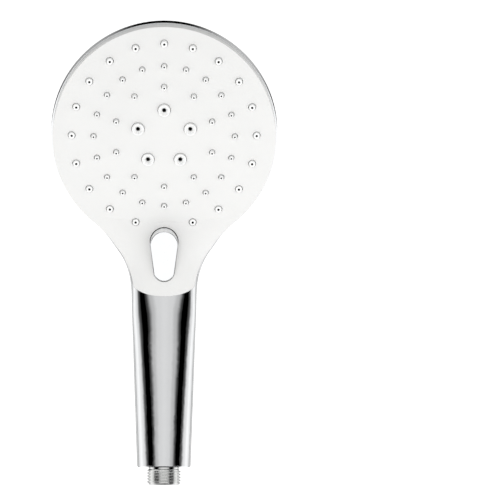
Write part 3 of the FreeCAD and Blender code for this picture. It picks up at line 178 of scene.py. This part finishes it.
# chrome on ABS is softer and more rippled than chrome on turned brass
chromeOnAbs = platedMetal("chromePlatedAbs", {
    "tint": "#F6F7F8", "filmTint": "#EEEFF0",
    "roughness": 0.02, "filmRoughness": 0.045, "filmSize": 18,
    "rippleSize": 9, "rippleDepth": 0.004,
    "hairWidth": 0.5, "hairStretch": (1, 1, 0.05), "hairDepth": 0.002, "hairRoughness": 0.03,
    "edge": 0.3})
# hairlines run round the thread, where the tool turned it
chromeOnBrass = platedMetal("chromePlatedTurnedBrass", {
    "tint": "#F3F3F2", "filmTint": "#E6E7E6",
    "roughness": 0.03, "filmRoughness": 0.08, "filmSize": 6,
    "rippleSize": 5, "rippleDepth": 0.006,
    "hairWidth": 0.4, "hairStretch": (0.05, 0.05, 1), "hairDepth": 0.004, "hairRoughness": 0.08,
    "edge": 0.15})
# cold-drawn or stamped stainless: greyer and duller, with draw lines
drawnStainless = platedMetal("drawnStainlessSteel", {
    "tint": "#B9BABA", "filmTint": "#9FA1A2",
    "roughness": 0.18, "filmRoughness": 0.3, "filmSize": 2,
    "rippleSize": 2, "rippleDepth": 0.004,
    "hairWidth": 0.15, "hairStretch": (1, 1, 0.2), "hairDepth": 0.004, "hairRoughness": 0.1,
    "edge": 0.08})

# satin ABS of the spray face; the mould's grain is 0.1 mm and is drawn 0.45 mm so that it shows
satinAbs = mouldedPlastic("satinWhiteAbs", {
    "colour": "#E6E6E5", "cloudColour": "#E2E2E1", "roughness": 0.34, "cloudRoughness": 0.46,
    "grain": 0.45, "grainDepth": 0.02, "grainStrength": 0.25, "cloud": 24,
    "ior": 1.53, "glow": 0.04, "glowReach": (1.0, 0.9, 0.8), "edge": 0.35})
# liquid silicone rubber: smooth, slightly waxy, lets some light through
siliconeRubber = mouldedPlastic("mouldedSiliconeRubber", {
    "colour": "#F7F7F6", "cloudColour": "#F0F1F1", "roughness": 0.2, "cloudRoughness": 0.4,
    "grain": 0.3, "grainDepth": 0.01, "grainStrength": 0.2, "cloud": 3,
    "ior": 1.43, "glow": 0.05, "glowReach": (1.2, 1.1, 1.0), "edge": 0.2,
    # painted shade: the nozzles' bores and funnels are darkened towards this grey by ambient occlusion
    "paintedHoleShadeColour": "#464645", "paintedShadeReach": 3, "shadeFullBelow": 0.3, "shadeNoneAbove": 0.75})
# grey ABS of the water channels, never seen from outside
greyAbs = mouldedPlastic("mouldedGreyAbs", {
    "colour": "#8B8D90", "cloudColour": "#7F8184", "roughness": 0.4, "cloudRoughness": 0.55,
    "grain": 0.5, "grainDepth": 0.02, "grainStrength": 0.3, "cloud": 15,
    "ior": 1.53, "glow": 0.0, "glowReach": (1.0, 1.0, 1.0), "edge": 0.2})
# natural acetal: creamy white and greasy smooth
naturalAcetal = mouldedPlastic("mouldedAcetal", {
    "colour": "#E7E5DE", "cloudColour": "#DEDBD2", "roughness": 0.28, "cloudRoughness": 0.4,
    "grain": 0.4, "grainDepth": 0.01, "grainStrength": 0.2, "cloud": 6,
    "ior": 1.48, "glow": 0.08, "glowReach": (1.2, 1.1, 0.9), "edge": 0.15})
# nitrile rubber of the seals: dull black with a dusty bloom
nitrileRubber = mouldedPlastic("mouldedNitrileRubber", {
    "colour": "#1C1C1D", "cloudColour": "#2A2A2B", "roughness": 0.5, "cloudRoughness": 0.75,
    "grain": 0.2, "grainDepth": 0.02, "grainStrength": 0.4, "cloud": 2,
    "ior": 1.52, "glow": 0.0, "glowReach": (1.0, 1.0, 1.0), "edge": 0.1})

materialOfSlot = {
    "chromed_plastic": chromeOnAbs,
    "chromed_brass": chromeOnBrass,
    "stainless_steel": drawnStainless,
    "white_plastic": satinAbs,
    "nozzle_silicone": siliconeRubber,
    "grey_plastic": greyAbs,
    "acetal": naturalAcetal,
    "seal_rubber": nitrileRubber}
slotOfNode = {name: piece.material_slots[0].material.name for name, piece in nodes.items()}
for name, piece in nodes.items():
    piece.material_slots[0].material = materialOfSlot[slotOfNode[name]]
print("materials made:", len(materialOfSlot))


# pieces
def newPiece(name, mesh, slotName, node, body="root"):
    mesh.name = name
    piece = bpy.data.objects.new(name, mesh)
    bpy.context.scene.collection.objects.link(piece)
    mesh.materials.clear()
    mesh.materials.append(materialOfSlot[slotName])
    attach(piece, body)
    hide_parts(node)
    return piece


def softened(node, pickEdge, look):
    # a merged copy of a CAD piece, whose picked edges are rounded
    bm = bmesh.new()
    bm.from_mesh(nodes[node].data)
    bmesh.ops.remove_doubles(bm, verts=bm.verts, dist=look["merge"] * mm)
    bmesh.ops.dissolve_limit(
        bm, angle_limit=math.radians(look["flatAngle"]), verts=bm.verts, edges=bm.edges)
    sharp = [e for e in bm.edges if len(e.link_faces) == 2
             and e.calc_face_angle(0) > math.radians(look["sharpAngle"]) and pickEdge(e)]
    bmesh.ops.bevel(
        bm, geom=sharp, offset=look["rounding"] * mm, offset_type="OFFSET", affect="EDGES",
        segments=look["segments"], profile=0.5, material=-1, clamp_overlap=True)
    for face in bm.faces:
        face.smooth = True
    for e in bm.edges:
        e.smooth = len(e.link_faces) == 2 and e.calc_face_angle(0) < math.radians(look["smoothAngle"])
    mesh = bpy.data.meshes.new(node)
    bm.to_mesh(mesh)
    bm.free()
    return mesh


def outOfRim(edge):
    # how far the lower end of an edge stands out of the rim's plane
    return min((toFace @ v.co).z for v in edge.verts) / mm


buttonLook = {
    "merge": 0.002, "flatAngle": 0.6, "sharpAngle": 50, "smoothAngle": 35,
    "rounding": 0.55, "segments": 5,
    "roundedFrom": 11.5}  # edges this far out of the rim's plane are rounded
newPiece(
    "sprayButton", softened("button", lambda e: outOfRim(e) > buttonLook["roundedFrom"], buttonLook),
    "chromed_plastic", "button", "button")
print("button made")

# only the rims of the nozzles' flat tips are rounded, found by their height out of the face
nozzleLook = {
    "merge": 0.002, "flatAngle": 0.5, "sharpAngle": 50, "smoothAngle": 35,
    "rounding": 0.3, "segments": 3,
    "tipSlack": 0.02,
    "tips": {"outer_nozzles": [4.2], "rain_nozzles": [7.0, 9.2], "massage_nozzles": [9.1]}}


def atTip(edge, tips):
    # both ends lie in the plane of a tip's flat end
    outs = [(toFace @ v.co).z / mm for v in edge.verts]
    return any(all(abs(out - tip) < nozzleLook["tipSlack"] for out in outs) for tip in tips)


for node, tips in nozzleLook["tips"].items():
    parts = node.split("_")
    newPiece(parts[0] + parts[1].capitalize(),
             softened(node, lambda e: atTip(e, tips), nozzleLook), "nozzle_silicone", node)
print("nozzles made")


# the inlet nipple, with a real screw thread
nippleLook = {
    "steps": 96, "crestRadius": 10.4775, "rootRadius": 9.3155, "pitch": 1.814,
    "threadEnd": 9.6, "runOut": 0.9, "spareTurns": 2,  # past each end, and cut off there
    "start": 0.12, "startInset": 0.1, "startSlope": 1.25,  # bevel at the open end
    "profileMerge": 0.004, "seamMerge": 0.01, "smoothAngle": 38}
# one turn of the thread: share of the pitch, share of the depth
threadProfile = [(0.0, 0.0), (0.06, 0.14), (0.17, 0.5), (0.28, 0.86), (0.33, 0.97), (0.38, 1.0),
                 (0.45, 1.0), (0.5, 0.97), (0.55, 0.86), (0.66, 0.5), (0.77, 0.14), (0.83, 0.03),
                 (0.9, 0.0)]
# the turned rest of the nipple: radius and height, from the thread's end round to its start
nippleOutline = [
    (9.3155, 9.6), (9.3155, 11.1), (10.18, 11.7), (10.18, 14.8), (13.9, 14.8), (13.9, 17.0), (9.6, 17.0),
    (9.6, 34.0), (5.72, 34.0), (5.72, 30.3), (7.25, 30.3), (7.25, 28.1), (5.72, 28.1), (5.72, 24.0),
    (4.4, 24.0), (4.4, 21.0), (7.6, 21.0), (7.6, 0.45), (8.0, 0.0), (8.95, 0.0), (9.2155, 0.12)]


def lathe(bm, points, steps, rise=0.0):
    # turns a line of points once about Z, and lifts it by rise on the way
    verts = [bm.verts.new((r * mm, 0, z * mm)) for r, z in points]
    edges = [bm.edges.new(pair) for pair in zip(verts, verts[1:])]
    bmesh.ops.spin(
        bm, geom=verts + edges, cent=(0, 0, 0), axis=(0, 0, 1), angle=2 * math.pi,
        dvec=(0, 0, rise * mm / steps), steps=steps, use_merge=rise == 0)


def threadShape(look):
    bm = bmesh.new()
    pitch, depth = look["pitch"], look["crestRadius"] - look["rootRadius"]
    first = -look["spareTurns"]
    last = int(look["threadEnd"] / pitch) + look["spareTurns"]
    points = [(look["rootRadius"] + depth * deep, (turn + share) * pitch)
              for turn in range(first, last) for share, deep in threadProfile]
    lathe(bm, points, look["steps"], rise=pitch)
    bmesh.ops.remove_doubles(bm, verts=bm.verts, dist=look["profileMerge"] * mm)
    for height, inner in ((look["start"], True), (look["threadEnd"], False)):
        bmesh.ops.bisect_plane(
            bm, geom=bm.verts[:] + bm.edges[:] + bm.faces[:], dist=1e-7,
            plane_co=(0, 0, height * mm), plane_no=(0, 0, 1), clear_inner=inner, clear_outer=not inner)
    for v in bm.verts:
        z = v.co.z / mm
        radius = math.hypot(v.co.x, v.co.y) / mm
        bevel = look["rootRadius"] - look["startInset"] + (z - look["start"]) * look["startSlope"]
        fade = look["rootRadius"] + max(0, look["threadEnd"] - z) * (depth / look["runOut"])
        wanted = min(radius, bevel, fade) / radius
        v.co.x *= wanted
        v.co.y *= wanted
    lathe(bm, nippleOutline, look["steps"])
    bmesh.ops.remove_doubles(bm, verts=bm.verts, dist=look["seamMerge"] * mm)
    bmesh.ops.recalc_face_normals(bm, faces=bm.faces)
    for face in bm.faces:
        face.smooth = True
    for e in bm.edges:
        e.smooth = len(e.link_faces) == 2 and e.calc_face_angle(0) < math.radians(look["smoothAngle"])
    mesh = bpy.data.meshes.new("nipple")
    bm.to_mesh(mesh)
    bm.free()
    return mesh


nipple = newPiece("threadedNipple", threadShape(nippleLook), "chromed_brass", "inlet_nipple")
print("nipple made:", len(nipple.data.polygons), "faces")

# the springs shorten as the button goes in and as the poppet lifts; the table gives the joint, the way from
# the held end to the moving one, and the travel, but here each spring only gets its own copy of its mesh
# and nothing reads these
springLook = {
    "button_spring": ("button_press", faceOut, 2.5),
    "check_valve_spring": ("check_valve_lift", Vector((0, 0, -1)), 2.0)}
for node, (joint, away, travel) in springLook.items():
    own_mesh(nodes[node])
print("springs held")

# studio: a large pale floor, soft light from all round, and cards that give the chrome its shape
studio = {
    "floorColour": "#F7F7F6", "floorGlow": 0.66, "floorShine": 0.1,
    "floorSize": 12, "floorDrop": 0.3,  # metres across, and millimetres under the object
    "floorClouds": 3.0, "floorRoughness": 0.8, "floorCloudRoughness": 0.95,
    "turn": 1.2,  # degrees that the cards are turned to the right
    "fill": 0.55,  # even light on plain surfaces
    "level": 1.12,  # strength of all the light that comes from round the object
    # mirrored light from straight in front (0) to straight behind (1)
    "round": [(0.0, 0.68), (0.1, 0.64), (0.175, 0.47), (0.255, 0.045), (0.28, 0.0), (0.375, 0.0),
              (0.425, 0.08), (0.51, 0.72), (0.62, 0.97), (0.7, 0.84), (0.79, 0.4), (0.86, 0.8), (1.0, 0.9)],
    # what is left of the mirrored light, from straight down (0) to straight up (1)
    "low": [(0.0, 0.0), (0.17, 0.04), (0.27, 1.0), (0.72, 1.0), (0.9, 0.05), (1.0, 0.0)],
    # light on plain surfaces, from straight down to straight up
    "high": [(0.0, 1.0), (0.7, 1.0), (0.8, 0.85), (1.0, 0.8)],
    # where the cards take over from the pale floor, from straight down to straight up
    "lowWhite": [(0.0, 0.0), (0.36, 0.0), (0.42, 1.0), (1.0, 1.0)],
    # mirrored light straight behind, from straight down to straight up
    "backHigh": [(0.0, 0.3), (0.46, 0.3), (0.51, 0.02), (0.56, 0.14), (0.63, 0.14), (0.68, 0.0),
                 (0.74, 0.0), (0.82, 0.9), (1.0, 1.0)],
    # how much of that shows, from straight in front to straight behind
    "backWide": [(0.0, 0.0), (0.84, 0.0), (0.95, 1.0), (1.0, 1.0)]}
floorMaterial, floorTree = newMaterial("matPaintedFloor")
floorPlace = addNode(floorTree, "ShaderNodeTexCoord").node.outputs["Object"]
floorClouds = addNode(floorTree, "ShaderNodeTexNoise", {
    "Scale": studio["floorClouds"], "Detail": 3.0, "Vector": floorPlace})
floorRough = addNode(floorTree, "ShaderNodeMapRange", {
    "Value": floorClouds, "From Min": clouding["from"], "From Max": clouding["full"],
    "To Min": studio["floorRoughness"], "To Max": studio["floorCloudRoughness"]})
floorShader = addNode(floorTree, "ShaderNodeBsdfPrincipled", {
    "Base Color": linear(studio["floorColour"]), "Emission Color": (1, 1, 1, 1),
    "Emission Strength": studio["floorGlow"], "Specular IOR Level": studio["floorShine"],
    "Roughness": floorRough})
addNode(floorTree, "ShaderNodeOutputMaterial", {"Surface": floorShader})
floorBmesh = bmesh.new()
bmesh.ops.create_grid(floorBmesh, x_segments=4, y_segments=4, size=studio["floorSize"] / 2)
bmesh.ops.translate(floorBmesh, vec=(0, 0, -studio["floorDrop"] * mm), verts=floorBmesh.verts)
floorMesh = bpy.data.meshes.new("floor")
floorBmesh.to_mesh(floorMesh)
floorBmesh.free()
floorMesh.materials.append(floorMaterial)
floor = bpy.data.objects.new("floor", floorMesh)
bpy.context.scene.collection.objects.link(floor)
floor.visible_glossy = False  # the chrome mirrors the cards alone


def buildWorld(look):
    world = bpy.data.worlds.new("studio")
    bpy.context.scene.world = world
    world.use_nodes = True
    tree = world.node_tree
    tree.nodes.clear()
    way = addNode(tree, "ShaderNodeTexCoord").node.outputs["Generated"]
    side, depth, height = addNode(tree, "ShaderNodeSeparateXYZ", {0: way}).node.outputs
    # share of the half turn from the front to the back, the same on both hands
    forward = addNode(tree, "ShaderNodeMath", {"operation": "MULTIPLY", 0: depth, 1: -1.0})
    turned = addNode(tree, "ShaderNodeMath", {"operation": "ARCTAN2", 0: side, 1: forward})
    centred = addNode(tree, "ShaderNodeMath", {
        "operation": "SUBTRACT", 0: turned, 1: math.radians(look["turn"])})
    eitherHand = addNode(tree, "ShaderNodeMath", {"operation": "ABSOLUTE", 0: centred})
    share = addNode(tree, "ShaderNodeMath", {"operation": "DIVIDE", 0: eitherHand, 1: math.pi})
    # share of the half turn from straight down to straight up
    slope = addNode(tree, "ShaderNodeMath", {"operation": "ARCSINE", 0: height})
    slopeShare = addNode(tree, "ShaderNodeMath", {"operation": "DIVIDE", 0: slope, 1: math.pi})
    rise = addNode(tree, "ShaderNodeMath", {"operation": "ADD", 0: slopeShare, 1: 0.5})
    sources = {
        "round": share, "backWide": share,
        "low": rise, "high": rise, "lowWhite": rise, "backHigh": rise}
    ramps = {name: addNode(tree, "ShaderNodeValToRGB", {"stops": look[name], "Fac": source})
             for name, source in sources.items()}
    # low down the cards end and the pale floor shows
    pale = addNode(tree, "ShaderNodeMath", {"operation": "SUBTRACT", 0: 1.0, 1: ramps["lowWhite"]})
    cards = addNode(tree, "ShaderNodeMath", {"operation": "MAXIMUM", 0: ramps["round"], 1: pale})
    behind = addNode(tree, "ShaderNodeMix", {0: ramps["backWide"], 2: cards, 3: ramps["backHigh"]})
    # the cards shape the reflections only: plain surfaces are lit evenly from all round,
    # and past the object the ground is plain white
    mirrored = addNode(tree, "ShaderNodeMath", {"operation": "MULTIPLY", 0: behind, 1: ramps["low"]})
    even = addNode(tree, "ShaderNodeMath", {"operation": "MULTIPLY", 0: ramps["high"], 1: look["fill"]})
    paths = addNode(tree, "ShaderNodeLightPath").node.outputs
    lit = addNode(tree, "ShaderNodeMix", {0: paths["Is Diffuse Ray"], 2: mirrored, 3: even})
    shown = addNode(tree, "ShaderNodeMath", {"operation": "MAXIMUM", 0: lit, 1: paths["Is Camera Ray"]})
    background = addNode(tree, "ShaderNodeBackground", {"Strength": look["level"], "Color": shown})
    addNode(tree, "ShaderNodeOutputWorld", {"Surface": background})


buildWorld(studio)

# two soft white lamps, in metres and watts, that the chrome doesn't mirror
lamps = {
    "keyLight": {"place": (-0.5, -1.6, 0.9), "target": (0, 0, 0.18), "size": 1.2, "power": 5.0},
    "fillLight": {"place": (1.2, -1.0, 0.3), "target": (0, 0, 0.16), "size": 1.1, "power": 3.0}}
for name, look in lamps.items():
    data = bpy.data.lights.new(name, "AREA")
    data.shape = "DISK"
    data.size = look["size"]
    data.energy = look["power"]
    lamp = bpy.data.objects.new(name, data)
    bpy.context.scene.collection.objects.link(lamp)
    lamp.location = look["place"]
    aim = Vector(look["target"]) - Vector(look["place"])
    lamp.rotation_euler = aim.to_track_quat("-Z", "Y").to_euler()
    lamp.visible_glossy = False
print("studio made")

# a long lens, level with the middle of the object and a little to its side
view = {
    "frameHeight": 0.310, "distance": 12.0, "sideways": 0.0532, "height": 0.1455,
    "roll": -0.1, "sensor": 36, "farthest": 60}
cameraData = bpy.data.cameras.new("camera")
cameraData.sensor_width = view["sensor"]
cameraData.lens = cameraData.sensor_width * view["distance"] / view["frameHeight"]
cameraData.clip_end = view["farthest"]
camera = bpy.data.objects.new("camera", cameraData)
bpy.context.scene.collection.objects.link(camera)
camera.location = (view["sideways"], -view["distance"], view["height"])
camera.rotation_euler = (math.pi / 2, math.radians(view["roll"]), 0)
bpy.context.scene.camera = camera
bpy.context.scene.view_settings.view_transform = "Standard"
bpy.context.view_layer.update()
